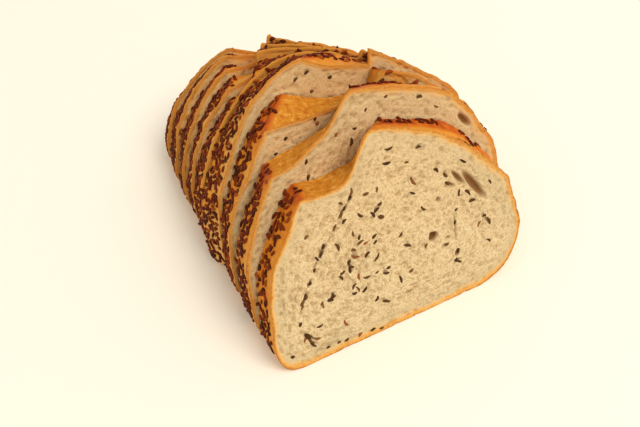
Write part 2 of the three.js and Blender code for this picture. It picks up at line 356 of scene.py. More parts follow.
back = np.array([
    math.sin(CAMERA_AZIMUTH) * math.cos(CAMERA_HEIGHT_ANGLE),
    -math.cos(CAMERA_AZIMUTH) * math.cos(CAMERA_HEIGHT_ANGLE),
    math.sin(CAMERA_HEIGHT_ANGLE),
])
side = np.array([math.cos(CAMERA_AZIMUTH), math.sin(CAMERA_AZIMUTH), 0])
upward = np.cross(back, side)
camera_place = CAMERA_AIM + CAMERA_DISTANCE * back


def on_cut_face(i, pixel):
    """The x and z, in slice i's axes, where the ray through a pixel meets its front cut face."""
    right, down = (np.asarray(pixel, float) - PICTURE_SIZE / 2) / FOCAL_PIXELS
    ray = right * side - down * upward - back
    c, d = math.cos(LEANS[i]), math.sin(LEANS[i])
    origin = np.array([PLACES[i, 0], PLACES[i, 1], 0])
    normal = np.array([0, c, -d])
    hit = camera_place + ray * ((origin - camera_place) @ normal) / (ray @ normal) - origin
    return np.array([hit[0], hit[1] * d + hit[2] * c])


def picture_mark(i, x, y, degrees, length):
    """The middle and one tip, in slice i's x and z, of a mark that the picture shows on its cut
    face. Half of its length, in pixels, is carried onto the face along with its middle."""
    turn = math.radians(degrees)
    half = np.array([math.cos(turn), -math.sin(turn)]) * length / 2
    return on_cut_face(i, (x, y)), on_cut_face(i, np.array([x, y]) + half)


def into_scene(name, data):
    """A new object with its data, linked into the scene."""
    obj = bpy.data.objects.new(name, data)
    bpy.context.scene.collection.objects.link(obj)
    return obj


camera_data = bpy.data.cameras.new("picture_camera")
camera_data.sensor_width = SENSOR_WIDTH
camera_data.lens = FOCAL_PIXELS / PICTURE_SIZE[0] * SENSOR_WIDTH
camera = into_scene("picture_camera", camera_data)
camera.location = camera_place * MM
camera.rotation_euler = (math.pi / 2 - CAMERA_HEIGHT_ANGLE, 0, CAMERA_AZIMUTH)
bpy.context.scene.camera = camera
print("lens, mm:", round(camera_data.lens, 1))
print("the middle of the front face, mm:", on_cut_face(0, (400, 240)).round(1))

# %% [markdown]
# ## The crumb's pores
# Light rye crumb is a fine foam: pores of half a millimetre to two millimetres, a few larger ones
# drawn out along the way the dough was rolled, and a few slots where it didn't quite close. Each is
# stamped as a shallow bowl into a height map of the cut face, and the mesh reads its depth from the
# map. The holes that one would recognise are placed where the picture has them, as pixels.

# %% Pore map of a cut face
MAP_STEP = 0.3
MAP_LEFT, MAP_RIGHT, MAP_TOP = -72, 98, 114
PORE_SIZES = (0.3, 1.35)
PORE_STRETCH = (1.0, 2.2)
PORE_TURN = 0.5
PORE_DEPTH = 0.75
PORES_PER_MM2 = 0.34
ROLLED_CENTRE = (12, 44)
ROLLED_FLATNESS = 0.8


def stamp(depth_map, x, z, long, short, angle, depth, sharp=2):
    """Presses an elliptical bowl into the map: depth (1 - r^sharp), where r is the distance from
    its middle as a share of its half length and half width."""
    reach = long + MAP_STEP

    def cells(middle):
        return slice(max(0, int((middle - reach) / MAP_STEP)), int((middle + reach) / MAP_STEP) + 2)

    rows, cols = cells(z), cells(x - MAP_LEFT)
    patch = depth_map[rows, cols]
    if patch.size == 0:
        return
    zz = (np.arange(patch.shape[0]) + rows.start)[:, None] * MAP_STEP - z
    xx = (np.arange(patch.shape[1]) + cols.start)[None, :] * MAP_STEP + MAP_LEFT - x
    along = (xx * math.cos(angle) + zz * math.sin(angle)) / long
    across = (zz * math.cos(angle) - xx * math.sin(angle)) / short
    r = np.sqrt(along**2 + across**2)
    np.maximum(patch, depth * np.clip(1 - r**sharp, 0, 1), out=patch)


def rolled_angle(x, z):
    """Direction of the rolled dough at a point: round a centre, flattened like the slice."""
    return math.atan2((x - ROLLED_CENTRE[0]) * ROLLED_FLATNESS, -(z - ROLLED_CENTRE[1]))


def pore_map(seed, density):
    """A map of depths in millimetres over the whole cut face, filled with random pores."""
    rng = np.random.default_rng(seed)
    depth_map = np.zeros((int(MAP_TOP / MAP_STEP), int((MAP_RIGHT - MAP_LEFT) / MAP_STEP)))
    count = int(density * (MAP_RIGHT - MAP_LEFT) * MAP_TOP)
    xs = rng.uniform(MAP_LEFT, MAP_RIGHT, count)
    zs = rng.uniform(0, MAP_TOP, count)
    sizes = PORE_SIZES[0] + (PORE_SIZES[1] - PORE_SIZES[0]) * rng.random(count) ** 3
    longs = sizes * rng.uniform(*PORE_STRETCH, count)
    turns = rng.normal(0, PORE_TURN, count)
    for x, z, short, long, turn in zip(xs, zs, sizes, longs, turns):
        stamp(depth_map, x, z, long, short, rolled_angle(x, z) + turn, PORE_DEPTH * short)
    return depth_map


def read_map(depth_map, x, z):
    """The map's value at points, blended from the four nearest cells."""
    col = np.clip((x - MAP_LEFT) / MAP_STEP, 0, depth_map.shape[1] - 1.001)
    row = np.clip(z / MAP_STEP, 0, depth_map.shape[0] - 1.001)
    c, r = col.astype(int), row.astype(int)
    u, v = col - c, row - r
    low = depth_map[r, c] * (1 - u) + depth_map[r, c + 1] * u
    high = depth_map[r + 1, c] * (1 - u) + depth_map[r + 1, c + 1] * u
    return low * (1 - v) + high * v


# %% Holes that the picture shows, as (pixel x, pixel y, degrees, length, width, depth in mm)
FRONT_HOLES = [
    (475, 185, -49, 40, 8, 3.0), (459, 178, -46, 22, 6, 2.4), (451, 185, -20, 12, 5, 2.0),
    (434, 237, 60, 12, 11, 3.6), (439, 200, -60, 6, 5, 1.6), (414, 285, 14, 12, 4, 1.2),
    (410, 292, 22, 12, 5, 1.8), (429, 282, 20, 8, 4, 1.2), (456, 227, -86, 36, 2, 1.6),
    (458, 253, 80, 9, 6, 3.0), (458, 260, 20, 8, 4, 2.0), (341, 216, 66, 14, 3, 2.2),
    (323, 252, 62, 22, 3, 2.2), (310, 284, 66, 12, 3, 2.0), (305, 300, 64, 16, 3, 2.4),
    (335, 229, 68, 10, 3, 2.0), (310, 338, -30, 12, 5, 2.8), (284, 306, -86, 18, 2, 1.2),
    (350, 199, 72, 14, 3, 2.0), (487, 219, -60, 14, 2, 1.2), (449, 238, 0, 5, 4, 1.6),
    (346, 208, 68, 10, 3, 2.0), (330, 240, 62, 10, 2, 1.6), (316, 266, 66, 12, 3, 1.8),
    (302, 312, 72, 12, 2, 1.6), (296, 300, 80, 14, 2, 1.2), (290, 330, -80, 14, 2, 1.0),
]
SECOND_HOLES = [(465, 120, -46, 19, 7, 3.0), (480, 128, -62, 14, 4, 1.5), (309, 176, 75, 7, 3, 1.6)]
PICTURE_HOLES = {0: FRONT_HOLES, 1: SECOND_HOLES}
MESH_BLUR = 0.3
NARROWEST_HOLE = 0.6
BLUNT_HOLE = 0.7
BLUNT_EDGE = 5


def press_holes(i, depth_map):
    """Stamps the picture's holes into slice i's map, in their true direction and length. Nearly
    round ones get a steep edge."""
    for x, y, degrees, length, width, depth in PICTURE_HOLES.get(i, []):
        a, b = picture_mark(i, x, y, degrees, length)
        reach = np.linalg.norm(b - a)
        narrow = max(reach * width / length - MESH_BLUR, NARROWEST_HOLE)
        angle = math.atan2(b[1] - a[1], b[0] - a[0])
        sharp = BLUNT_EDGE if width > BLUNT_HOLE * length else 2
        stamp(depth_map, a[0], a[1], reach, narrow, angle, depth, sharp)


# %% [markdown]
# ## A slice's surface
# A slice is one closed surface: from the middle of the front face outwards, over the crust strip,
# and back in to the middle of the back face. Every row of points is a copy of the outline, drawn in
# towards a hub on the faces. The hub sits right of the slash's wall, from where every part of the
# outline can be seen, so no row folds.

# %% Rows of points for each part of a slice
FRONT_ROWS = 150
OTHER_ROWS = 60
BACK_ROWS = 14
FRONT_CROWD = 1.25
OTHER_CROWD = 1.7
CUT_DEPTHS = np.array([0, 0.12, 0.35, 0.75])
CRUST_DEPTHS = np.r_[CUT_DEPTHS, np.linspace(1.3, SLICE_THICK - 1.3, 18), SLICE_THICK - CUT_DEPTHS[::-1]]
EDGE_ROUNDING = 0.3
EDGE_REACH = 0.8
HUB_HEIGHT = 0.4
HUB_SIDE = 5.0
HUB_CLEARANCE = 2
FLANK_CRUST = 2.3
REAR_CRUST = 3.4
REAR_CRUST_SLICES = (4, 7)
BASE_CRUST = 4.4
BASE_CRUST_ENDS = (2, 9)
TOP_CRUST = 2.0
TOP_CRUST_SIDE = (0, 30)
TOP_CRUST_HEIGHT = (30, 60)
UNEVEN_CRUST = [(0.35, 7, 31), (0.35, 2.5, 32)]
TORN_SIDE = (-1, 3)
TORN_HEIGHT = (20, 40)
TORN_REACH = (7, 15)
PRESSED_REACH = (4, 8)
PRESSED_SIDE = (-20, -8)
EARED_SLICE = 2
EAR_MIDDLE = 39
EAR_SPREAD = 9
EAR_BROWN_REACH = (5, 9)
EAR_FLOOR = 40
# Painted shade on the crumb: a little darker upwards on the first slice, and darker on each slice behind
# it.
FRONT_PAINTED_SHADE = 0.08
FRONT_SHADE_HEIGHT = (20, 90)
NEXT_PAINTED_SHADE = 0.12
PAINTED_SHADE_STEP = 0.05
MOST_PAINTED_SHADE = 0.3
PORE_MARGIN = (0.6, 2.0)
CRUMB_RECESS = 0.3
RECESS_MARGIN = (0.5, 1.6)
DEEPEST_PORE = SLICE_THICK / 3
CRUST_RELIEF = 0.45
RELIEF_NOISES = [(0.7, 9, 11), (0.5, 3.1, 12), (0.3, 1.3, 13)]
RELIEF_DROP = 0.8
FLOOR_MARGIN = (1, 5)
HEEL_TURNS = np.radians(np.linspace(8, 75, 14))
HEEL_CORE = 0.25
HEEL_CAP_ROWS = 16


def hub(i, t):
    """The middle that a face's rows shrink towards, right of the open slash's foot."""
    t = np.float64(t)
    feet = [float(cut["foot"]) + HUB_CLEARANCE for cut in slashes(i, t) if cut["open"] > 0.5]
    return max([HUB_SIDE, *feet]), float(section(i * SLICE_THICK + t)["crest"]) * HUB_HEIGHT


def edge_distance(x, z, rim_x, rim_z):
    """Distance of each face point from the outline, taken to straight pieces of every third point."""
    best = np.full(x.shape, np.inf)
    corners_x, corners_z = rim_x[::3], rim_z[::3]
    for x0, z0, x1, z1 in zip(corners_x, corners_z, np.roll(corners_x, -1), np.roll(corners_z, -1)):
        dx, dz = x1 - x0, z1 - z0
        along = np.clip(((x - x0) * dx + (z - z0) * dz) / (dx * dx + dz * dz + 1e-12), 0, 1)
        np.minimum(best, (x - x0 - along * dx) ** 2 + (z - z0 - along * dz) ** 2, out=best)
    return np.sqrt(best)


def crust_thickness(i, x, z):
    """How far the browned border reaches into the crumb: thick at the base, thin on the flanks."""
    world = np.stack([x, 0 * x + i * SLICE_THICK, z], axis=-1)
    base = BASE_CRUST * (1 - smooth(*BASE_CRUST_ENDS, z))
    top = TOP_CRUST * smooth(*TOP_CRUST_SIDE, x) * smooth(*TOP_CRUST_HEIGHT, z)
    flank = FLANK_CRUST + REAR_CRUST * smooth(*REAR_CRUST_SLICES, i)
    return (flank + base + top) * (1 + noises(world, UNEVEN_CRUST))


def crusted_face(i, x, z, rim):
    """How brown a rear slice's face is right of its slash, where it tore along the crust, and on
    the left flank behind the swollen slice, whose crust pressed on it. One front slice is brown
    only beside its ear."""
    foot = SECOND_SLASH["foot"] + SECOND_SLASH["foot_drift"] * max(0, i * SLICE_THICK - SLASH_CHANGE)
    torn = smooth(foot + TORN_SIDE[0], foot + TORN_SIDE[1], x) * smooth(*TORN_HEIGHT, z)
    torn = torn * (i > SWOLLEN_SLICE) * (1 - smooth(*TORN_REACH, rim))
    pressed = (1 - smooth(*PRESSED_REACH, rim)) * (1 - smooth(*PRESSED_SIDE, x))
    ear = np.exp(-(((x - EAR_MIDDLE) / EAR_SPREAD) ** 2)) * (1 - smooth(*EAR_BROWN_REACH, rim))
    return np.maximum.reduce([
        torn, pressed * (i == SWOLLEN_SLICE + 1), ear * (z > EAR_FLOOR) * (i == EARED_SLICE),
    ])


def painted_crumb_shade(i, z):
    """Painted shade, as a faint share of crust brown: the crumb darkens a little upwards on the first
    slice, and from slice to slice behind it."""
    if i == 0:
        return FRONT_PAINTED_SHADE * smooth(*FRONT_SHADE_HEIGHT, z)
    return min(NEXT_PAINTED_SHADE + PAINTED_SHADE_STEP * i, MOST_PAINTED_SHADE) + 0 * z


def face_rows(i, t, rows, crowd, depth_map):
    """Rows of a cut face from near its hub to just inside the crust. Their shares of the outline
    are 1 - (1 - k / rows)^crowd. The crumb lies a little below the crust's edge, and each pore
    lowers it further."""
    base = t * math.tan(LEANS[i])
    rim_x, rim_z = outline(i, t, base)
    hub_x, hub_z = hub(i, t)
    share = 1 - (1 - np.arange(1, rows) / rows)[:, None] ** crowd
    x = hub_x + (rim_x - hub_x) * share
    z = hub_z + (rim_z - hub_z) * share
    rim = edge_distance(x, z, rim_x[0], rim_z[0])
    pit = read_map(depth_map, x, z) * smooth(*PORE_MARGIN, rim)
    deep = np.clip(pit + CRUMB_RECESS * smooth(*RECESS_MARGIN, rim), 0, DEEPEST_PORE)
    inward = deep if t < SLICE_THICK / 2 else -deep
    # This number mixes real browning where the crust tore or pressed with the crumb's painted shade.
    bake_and_shade = np.maximum(crusted_face(i, x, z, rim), painted_crumb_shade(i, z))
    edge = rim / crust_thickness(i, x, z)
    z = np.maximum(z, base)
    return dict(x=x, t=t + inward, z=z, rim=rim, edge=edge, pit=pit, bake_and_shade=bake_and_shade, groove=0 * x)


def crust_rows(i):
    """Rows of the crust strip, and of the rounded heel behind the last slice. The edges at the cuts
    are rounded a little, and noise raises and lowers the crust along its outward direction."""
    is_heel = i == SLICES - 1
    slope = math.tan(LEANS[i])
    x, z = outline(i, CRUST_DEPTHS, CRUST_DEPTHS * slope)
    t = np.repeat(CRUST_DEPTHS[:, None], x.shape[1], axis=1)
    if is_heel:
        x, t, z = (np.vstack(pair) for pair in zip((x, t, z), heel_rows(x[-1], z[-1], slope)))
    points = np.stack([x, t, z], axis=-1)
    relief = CRUST_RELIEF * noises(points + np.array([0, i * SLICE_THICK, 0]), RELIEF_NOISES)
    ends = t if is_heel else np.minimum(t, SLICE_THICK - t)
    rounding = EDGE_ROUNDING * (1 - smooth(0, EDGE_REACH, ends)) ** 2
    above = smooth(*FLOOR_MARGIN, z - t * slope)
    amount = (relief - CRUST_RELIEF * RELIEF_DROP) * above - rounding
    x, t, z = np.moveaxis(points + outward(points) * amount[..., None], -1, 0)
    t = np.clip(t, 0, None if is_heel else SLICE_THICK)
    z = np.maximum(z, t * slope)
    bake_and_shade, groove = baking(i, x, t, z)
    return dict(x=x, t=t, z=z, rim=0 * x, edge=0 * x, pit=0 * x, bake_and_shade=bake_and_shade, groove=groove)


def heel_rows(rim_x, rim_z, slope):
    """The rounded end: rows go back by bulge sin(a) while they shrink by core + (1 - core) cos(a),
    and the last ones close to a point in a shallow cap."""
    middle = float(section(np.float64(LOAF_LENGTH))["crest"]) * HUB_HEIGHT
    go_back = HEEL_BULGE * np.sin(HEEL_TURNS)
    shrink = HEEL_CORE + (1 - HEEL_CORE) * np.cos(HEEL_TURNS)
    q = np.arange(1, HEEL_CAP_ROWS) / HEEL_CAP_ROWS
    go_back = np.r_[go_back, go_back[-1] + (HEEL_BULGE - go_back[-1]) * (1 - (1 - q) ** 2)]
    shrink = np.r_[shrink, shrink[-1] * (1 - q)]
    t = (SLICE_THICK + go_back)[:, None] + 0 * rim_x
    x = rim_x * shrink[:, None]
    z = np.maximum(middle + (rim_z - middle) * shrink[:, None], t * slope)
    return x, t, z


def outward(points):
    """Outward directions of the crust: the cross product of its two surface directions."""
    round_way = np.roll(points, -1, axis=1) - np.roll(points, 1, axis=1)
    normal = np.cross(round_way, np.gradient(points, axis=0))
    return normal / np.maximum(np.linalg.norm(normal, axis=-1, keepdims=True), 1e-9)


# %% [markdown]
# ## How dark the oven baked it
# The base stayed pale, the flanks turned golden and the top brown. The ridges beside a slash were
# the highest and thinnest dough, so they went reddish dark, and the groove, bared last, baked to a
# smooth orange with no seeds. Both are stored on the mesh as numbers from 0 to 1, which the crust's
# material turns into colour.

# %% Baking and groove numbers
BASE_BAKE = 0.15
BAKE_BY_HEIGHT = [(0.12, 0.05, 0.6), (0.1, 0.6, 1.0)]
UNEVEN_BAKE = [(0.1, 14, 21), (0.08, 4, 22)]
SEEDED_BROWNING = 0.1
SEEDED_START = (2, 9)
SEEDED_HEIGHT = (0.06, 0.2)
# Painted shade: the left flank, away from the window, is coloured a little darker.
LEFT_PAINTED_SHADE = 0.03
LEFT_SHADE_SIDE = (-50, -30)
LEFT_SHADE_START = (0.5, 3)
RIDGE_REACH = 6
RIDGE_BROWNING = 0.38
RIDGE_FADE = 5
EAR_BROWNING = 0.26
CREST_BROWNING = 0.24
CREST_WIDTH = 4
CREST_START = (3, 12)
CREST_FLOOR = 0.6
OPEN_DEPTH = (1.5, 5.5)
SLASH_FLOOR = 0.3
GROOVE_EDGE = 1.2
REAR_PALENESS = 0.12
REAR_GROOVE = 0.5


def baking(i, x, t, z):
    """The crust's browning number grows with height and towards the ridges, and a little on the left
    flank as painted shade; groove is 1 between a slash's lobe and lip.
    """
    t = np.clip(t, 0, SLICE_THICK)
    s = i * SLICE_THICK + t
    height = z / (section(s)["crest"] * HEIGHT_SHARES[i])
    bake_and_shade = BASE_BAKE + sum(more * smooth(low, high, height) for more, low, high in BAKE_BY_HEIGHT)
    bake_and_shade = bake_and_shade - REAR_PALENESS * (i >= SWOLLEN_SLICE) * (x < 0)
    bake_and_shade = bake_and_shade + SEEDED_BROWNING * smooth(*SEEDED_START, t) * smooth(*SEEDED_HEIGHT, height)
    # Painted shade on the left flank, away from the window.
    bake_and_shade = bake_and_shade + LEFT_PAINTED_SHADE * (1 - smooth(*LEFT_SHADE_SIDE, x)) * smooth(*LEFT_SHADE_START, t)
    groove = 0 * x
    for cut in slashes(i, t):
        lobe, lip = cut["lobe"], cut["lip"]
        is_open = cut["open"] * smooth(*OPEN_DEPTH, cut["depth"]) * (height > SLASH_FLOOR)
        inside = smooth(lobe - GROOVE_EDGE / 2, lobe + RIDGE_FADE, x)
        inside = inside * (1 - smooth(lip - GROOVE_EDGE, lip + GROOVE_EDGE, x))
        groove = np.maximum(groove, inside * is_open)
        ridge = np.exp(-np.maximum(lobe - x, 0) / RIDGE_REACH) * (1 - smooth(lobe, lobe + RIDGE_FADE, x))
        ear = np.exp(-np.maximum(x - lip, 0) / RIDGE_REACH) * (x >= lip - 1)
        crest = smooth(lip, lip + CREST_WIDTH, x) * smooth(*CREST_START, t) * (height > CREST_FLOOR)
        bake_and_shade = bake_and_shade + is_open * (RIDGE_BROWNING * ridge + EAR_BROWNING * ear + CREST_BROWNING * crest)
    bake_and_shade = bake_and_shade + noises(np.stack([x, s, z], axis=-1), UNEVEN_BAKE)
    return np.clip(bake_and_shade, 0, 1), np.clip(groove, 0, 1) * (REAR_GROOVE if i >= SWOLLEN_SLICE else 1)


# %% [markdown]
# ## Turning rows into a mesh
# All rows have the same number of points, so quads join each row to the next, and a fan of
# triangles closes the middle of each face. The numbers from above travel along as attributes. The
# flow map has the distance along the outline as u and from the crust as v, both in millimetres, for
# the fine streaks that run parallel to the crust.


# %% Mesh from rows
FRONT_PORE_SEED = 100
BACK_PORE_SEED = 200
HUB_DEPTH = 50


def link(name, points, corners, sizes, values, materials, face_material):
    """A mesh object from points in millimetres, a flat list of corners and each face's size, with
    named numbers on its points."""
    mesh = bpy.data.meshes.new(name)
    mesh.vertices.add(len(points))
    mesh.vertices.foreach_set("co", (points * MM).astype(np.float32).ravel())
    mesh.loops.add(len(corners))
    mesh.loops.foreach_set("vertex_index", corners.astype(np.int32))
    mesh.polygons.add(len(sizes))
    mesh.polygons.foreach_set("loop_start", np.r_[0, np.cumsum(sizes)[:-1]].astype(np.int32))
    mesh.polygons.foreach_set("loop_total", sizes.astype(np.int32))
    mesh.polygons.foreach_set("use_smooth", np.ones(len(sizes), bool))
    mesh.polygons.foreach_set("material_index", face_material.astype(np.int32))
    mesh.update(calc_edges=True)
    for key, value in values.items():
        field = mesh.attributes.new(key, "FLOAT", "POINT")
        field.data.foreach_set("value", value.astype(np.float32).ravel())
    for material in materials:
        mesh.materials.append(material)
    return into_scene(name, mesh)


def slice_mesh(i, name):
    """Stacks the rows of the front face, the crust and the back face, and joins them. The second
    value that it gives back has the rows of the crust alone."""
    front_map = pore_map(FRONT_PORE_SEED + i, PORES_PER_MM2)
    press_holes(i, front_map)
    rows, crowd = (OTHER_ROWS, OTHER_CROWD) if i else (FRONT_ROWS, FRONT_CROWD)
    parts = [face_rows(i, 0.0, rows, crowd, front_map), crust_rows(i)]
    if i < SLICES - 1:
        back_map = pore_map(BACK_PORE_SEED + i, PORES_PER_MM2 / 2)
        behind = face_rows(i, SLICE_THICK, BACK_ROWS, OTHER_CROWD, back_map)
        parts.append({key: value[::-1] for key, value in behind.items()})
    stack = {key: np.vstack([part[key] for part in parts]) for key in parts[0]}
    grid = to_row(i, stack["x"], stack["t"], stack["z"])
    count_rows, n = stack["x"].shape
    points = np.vstack([grid.reshape(-1, 3), grid[0].mean(0), grid[-1].mean(0)])
    k = np.arange(count_rows - 1)[:, None] * n
    ring, after = np.arange(n), (np.arange(n) + 1) % n
    quads = np.stack([k + n + ring, k + n + after, k + after, k + ring], axis=-1)
    last, middle = (count_rows - 1) * n, count_rows * n
    front_fan = np.stack([ring, after, 0 * ring + middle], axis=-1)
    back_fan = np.stack([last + after, last + ring, 0 * ring + middle + 1], axis=-1)
    corners = np.r_[quads.ravel(), front_fan.ravel(), back_fan.ravel()]
    sizes = np.r_[np.full(last, 4), np.full(2 * n, 3)]
    row_of_quad = np.repeat(np.arange(count_rows - 1), n) - len(parts[0]["x"])
    is_crust = (row_of_quad >= 0) & (row_of_quad < len(parts[1]["x"]) - 1)
    face_material = np.r_[is_crust, np.zeros(n), np.full(n, i == SLICES - 1)]
    values = {key: np.r_[stack[key].ravel(), stack[key][0].mean(), stack[key][-1].mean()]
              for key in ("edge", "pit", "bake_and_shade", "groove")}
    obj = link(name, points, corners, sizes, values, [CRUMB, CRUST], face_material)
    flow_map(obj.data, stack, corners)
    return obj, parts[1]


def flow_map(mesh, stack, corners):
    """UV in millimetres: along the outline, and in from the crust."""
    steps = np.hypot(np.diff(stack["x"][-1]), np.diff(stack["z"][-1]))
    u = np.r_[np.tile(np.r_[0, np.cumsum(steps)], len(stack["x"])), 0, 0]
    v = np.r_[(stack["rim"] + stack["t"]).ravel(), HUB_DEPTH, HUB_DEPTH]
    layer = mesh.uv_layers.new(name="flow")
    layer.data.foreach_set("uv", np.stack([u, v], axis=-1)[corners].astype(np.float32).ravel())


# %% [markdown]
# ## Materials
# Bread has no metal and no clear gloss. The crumb is a matte starch foam, the crust is dried and
# browned starch with a faint satin, and a caraway seed is a ribbed husk with a waxy gleam. One
# small helper adds any node, sets its values and links its inputs.


# %% Node helper and colours
GRAIN_ROUGHNESS = 0.55


def linear(code):
    """A hex colour in sRGB, such as E3CC9C, as linear red, green, blue and alpha."""
    c = np.array([int(code[k : k + 2], 16) for k in (0, 2, 4)]) / 255
    return (*np.where(c <= 0.04045, c / 12.92, ((c + 0.055) / 1.055) ** 2.4).tolist(), 1)


def feed(tree, socket, value):
    """Links another node's output to an input, or sets the input to a plain value."""
    if isinstance(value, bpy.types.NodeSocket):
        tree.links.new(value, socket)
    else:
        socket.default_value = value


def add(tree, kind, inputs=None, **settings):
    """A node with its settings and its inputs, by name or number."""
    node = tree.nodes.new(kind)
    for key, value in settings.items():
        setattr(node, key, value)
    for key, value in (inputs or {}).items():
        feed(tree, node.inputs[key], value)
    return node


def ramp(tree, factor, stops):
    """A colour ramp through (place, hex colour) stops."""
    node = add(tree, "ShaderNodeValToRGB", {"Fac": factor})
    elements = node.color_ramp.elements
    while len(elements) < len(stops):
        elements.new(0.5)
    for element, (place, code) in zip(elements, stops):
        element.position = place
        element.color = linear(code)
    return node.outputs["Color"]


def mix(tree, factor, a, b):
    """Mixes two colours by a factor."""
    return add(tree, "ShaderNodeMix", {0: factor, 6: a, 7: b}, data_type="RGBA").outputs[2]


def times(tree, a, b):
    """The product of two numbers."""
    return add(tree, "ShaderNodeMath", {0: a, 1: b}, operation="MULTIPLY").outputs[0]


def plus(tree, a, b):
    """The sum of two numbers."""
    return add(tree, "ShaderNodeMath", {0: a, 1: b}, operation="ADD").outputs[0]


def remap(tree, value, span=(0, 1), to=(0, 1)):
    """Carries a number from one range over to another, and holds it inside that one."""
    inputs = {"Value": value, "From Min": span[0], "From Max": span[1], "To Min": to[0], "To Max": to[1]}
    return add(tree, "ShaderNodeMapRange", inputs).outputs[0]


def attribute(tree, name):
    """The number stored on the mesh under that name."""
    return add(tree, "ShaderNodeAttribute", attribute_name=name).outputs["Fac"]


def grain(tree, per_mm, detail):
    """Noise whose blobs are about 1 / per_mm millimetres wide, on coordinates in metres."""
    place = add(tree, "ShaderNodeTexCoord").outputs["Object"]
    inputs = {"Vector": place, "Scale": per_mm / MM, "Detail": detail, "Roughness": GRAIN_ROUGHNESS}
    return add(tree, "ShaderNodeTexNoise", inputs).outputs["Fac"]


def new_material(name):
    """An empty node material and its tree."""
    material = bpy.data.materials.new(name)
    material.use_nodes = True
    return material, material.node_tree


def dress(tree, tone, roughness, gloss, height=None, strength=0, deep=0):
    """Gives the Principled shader its colour, roughness and gloss, and a bump deep millimetres
    high."""
    inputs = tree.nodes["Principled BSDF"].inputs
    feed(tree, inputs["Base Color"], tone)
    feed(tree, inputs["Roughness"], roughness)
    feed(tree, inputs["Specular IOR Level"], gloss)
    if height is not None:
        bump = add(tree, "ShaderNodeBump", {"Strength": strength, "Distance": deep * MM, "Height": height})
        feed(tree, inputs["Normal"], bump.outputs[0])


# %% [markdown]
# ### Crumb
# Baked rye and wheat dough, cut with a toothed blade. The eye sees a warm cream, mottled by pores
# that are a little darker because light is lost in them, faint streaks along the way the dough was
# rolled, and a border that browns over the last few millimetres into the crust. The pores' darkness
# is painted shade in the colour, and so is a faint brown upwards on the first slice and on the
# slices behind it.


# %% Crumb material
CRUMB_LIGHT = "EBD7AE"
CRUMB_CREAM = "D9BF94"
CRUMB_SHADE = "B39464"
# Colour of the painted shade in the pores.
CRUMB_PORE_SHADE = "7C4F20"
# Crust brown: real browning on torn and pressed faces, and painted shade on the crumb.
CRUMB_BROWN_AND_SHADE = "CA8834"
CRUMB_CLOUD = "C2A574"
CRUMB_GREYED = "C4B087"
MOTTLE_STOPS = [(0.36, CRUMB_SHADE), (0.46, CRUMB_CREAM), (0.62, CRUMB_LIGHT)]
RIM_STOPS = [(0.0, "C07A30"), (0.15, "DDA04C"), (0.4, "E2B26E"), (0.7, "DAB884"), (1.0, "D4BC92")]
STREAK_SCALE = (0.16, 1.3, 1)


def crumb_material():
    """Mottled cream with streaks and clouds. It greys towards the border, browns inside it, and
    darkens where the crust pressed or tore. Painted shade darkens it in the pores, a little upwards
    on the first slice, and on the slices behind."""
    material, tree = new_material("rye_crumb_cut_by_blade")
    flow = add(tree, "ShaderNodeUVMap", uv_map="flow").outputs["UV"]
    streaked = add(tree, "ShaderNodeMapping", {"Vector": flow, "Scale": STREAK_SCALE}).outputs[0]
    streak_noise = add(tree, "ShaderNodeTexNoise", {"Vector": streaked, "Scale": 1.0, "Detail": 3})
    fine = grain(tree, per_mm=1.5, detail=2)
    foam = grain(tree, per_mm=0.75, detail=2)
    patches = grain(tree, per_mm=0.22, detail=3)
    cloudy = grain(tree, per_mm=0.06, detail=2)
    mottle = plus(tree, times(tree, fine, 0.42), times(tree, foam, 0.58))
    cloud = plus(tree, times(tree, cloudy, 0.18), times(tree, patches, 0.3))
    tone = ramp(tree, mottle, MOTTLE_STOPS)
    streaks = remap(tree, streak_noise.outputs["Fac"], span=(0.5, 0.75), to=(0, 0.5))
    tone = mix(tree, streaks, tone, linear(CRUMB_SHADE))
    tone = mix(tree, cloud, tone, linear(CRUMB_CLOUD))
    edge = attribute(tree, "edge")
    tone = mix(tree, remap(tree, edge, span=(1, 4.5), to=(0.4, 0)), tone, linear(CRUMB_GREYED))
    border = ramp(tree, plus(tree, plus(tree, edge, times(tree, foam, 0.5)), -0.25), RIM_STOPS)
    tone = mix(tree, remap(tree, edge, span=(0.3, 1)), border, tone)
    # Painted shade: the deeper a pore, the darker its colour.
    pit = remap(tree, attribute(tree, "pit"), span=(0.25, 2), to=(0, 0.9))
    tone = mix(tree, pit, tone, linear(CRUMB_PORE_SHADE))
    # Crust brown mixed in: real browning where the crust tore or pressed, and painted shade on the crumb.
    uneven = plus(tree, times(tree, foam, 1.6), 0.2)
    brown_and_shade = times(tree, attribute(tree, "bake_and_shade"), uneven)
    tone = mix(tree, remap(tree, brown_and_shade), tone, linear(CRUMB_BROWN_AND_SHADE))
    dress(tree, tone, roughness=0.92, gloss=0.25, height=mottle, strength=0.55, deep=0.6)
    return material


# %% [markdown]
# ### Crust
# Starch and sugars browned by the oven floor and by steam. Colour runs from the pale, floury base
# over gold to a dark reddish brown on the ridges, and it is never even: small blisters are darker.
# The grooves opened late, so they are orange, smooth and dull.


# %% Crust material
CRUST_STOPS = [
    (0.05, "E2AD60"), (0.3, "E0932A"), (0.5, "D47715"), (0.68, "C0570B"), (0.85, "943507"), (1.0, "5C1D05"),
]
GROOVE_STOPS = [(0.36, "A9590C"), (0.46, "C47A1C"), (0.54, "CC8626"), (0.64, "E3A94E")]


